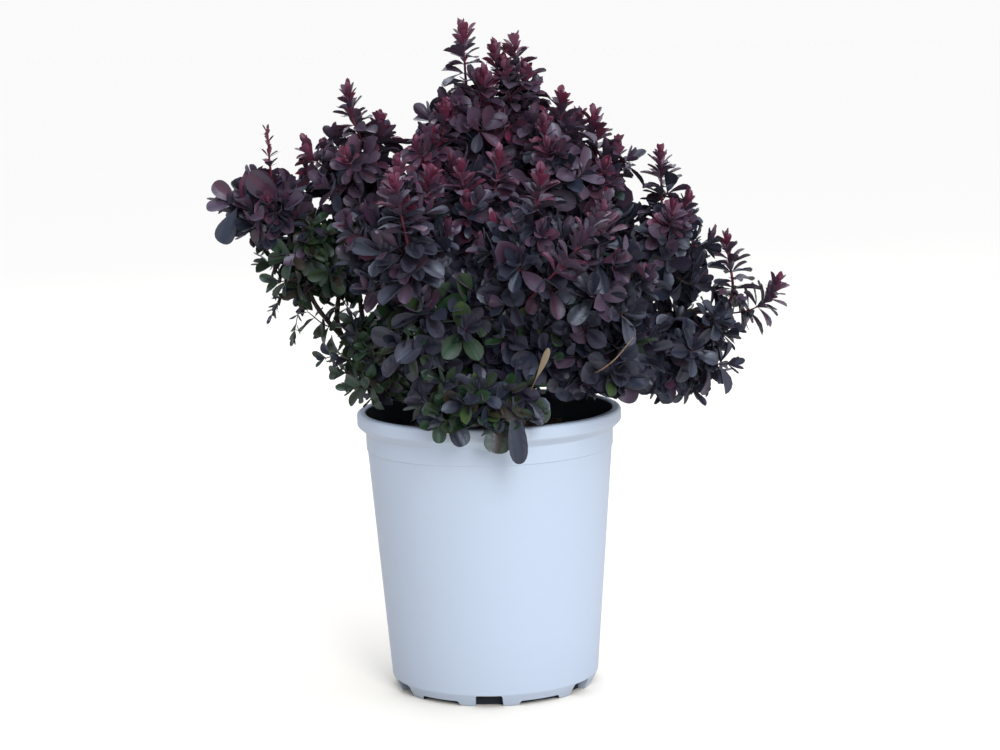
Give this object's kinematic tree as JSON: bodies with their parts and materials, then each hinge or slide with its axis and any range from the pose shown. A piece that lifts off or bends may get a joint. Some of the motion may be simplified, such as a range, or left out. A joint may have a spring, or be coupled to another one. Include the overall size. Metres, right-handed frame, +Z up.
{
  "type": "potted japanese barberry",
  "caption": "Bushy many-stemmed shrub of upright shoots with small dark purple leaves and crimson tips, in a round tapered nursery pot.",
  "frame": {"origin": "middle of the flat underside of the pot", "axes": "+Z up along the pot's axis, -Y towards the front that the picture shows, +X to its right"},
  "size_m": [0.5243, 0.3371, 0.5837],
  "materials": {
    "pot": "satin",
    "soil": "rough",
    "bark": "rough",
    "foliage": "waxy satin"
  },
  "bodies": {
    "root": {"pot": "pot", "soil": "soil", "root_crown": "bark", "bough_back_left": "bark", "bough_back_low_left": "bark", "bough_back_low_middle": "bark", "bough_back_low_right": "bark", "bough_back_middle": "bark", "bough_back_right": "bark", "bough_centre": "bark", "bough_front_left": "bark", "bough_front_low": "bark", "bough_front_middle": "bark", "bough_front_right": "bark", "bough_left_hill": "bark", "bough_left_low": "bark", "bough_left_shoulder": "bark", "bough_left_skirt": "bark", "bough_left_tip": "bark", "bough_low_left": "bark", "bough_low_middle": "bark", "bough_low_right": "bark", "bough_right_hill": "bark", "bough_right_low": "bark", "bough_right_shoulder": "bark", "bough_right_side": "bark", "bough_right_tip": "bark", "bough_right_wing": "bark", "bough_top_left": "bark", "bough_top_right": "bark", "mass_back_left": "foliage", "mass_back_low_left": "foliage", "mass_back_low_middle": "foliage", "mass_back_low_right": "foliage", "mass_back_middle": "foliage", "mass_back_right": "foliage", "mass_centre": "foliage", "mass_front_left": "foliage", "mass_front_low": "foliage", "mass_front_middle": "foliage", "mass_front_right": "foliage", "mass_left_hill": "foliage", "mass_left_low": "foliage", "mass_left_shoulder": "foliage", "mass_left_skirt": "foliage", "mass_left_tip": "foliage", "mass_low_left": "foliage", "mass_low_middle": "foliage", "mass_low_right": "foliage", "mass_right_hill": "foliage", "mass_right_low": "foliage", "mass_right_shoulder": "foliage", "mass_right_side": "foliage", "mass_right_tip": "foliage", "mass_right_wing": "foliage", "mass_top_left": "foliage", "mass_top_right": "foliage"}
  },
  "joints": []
}
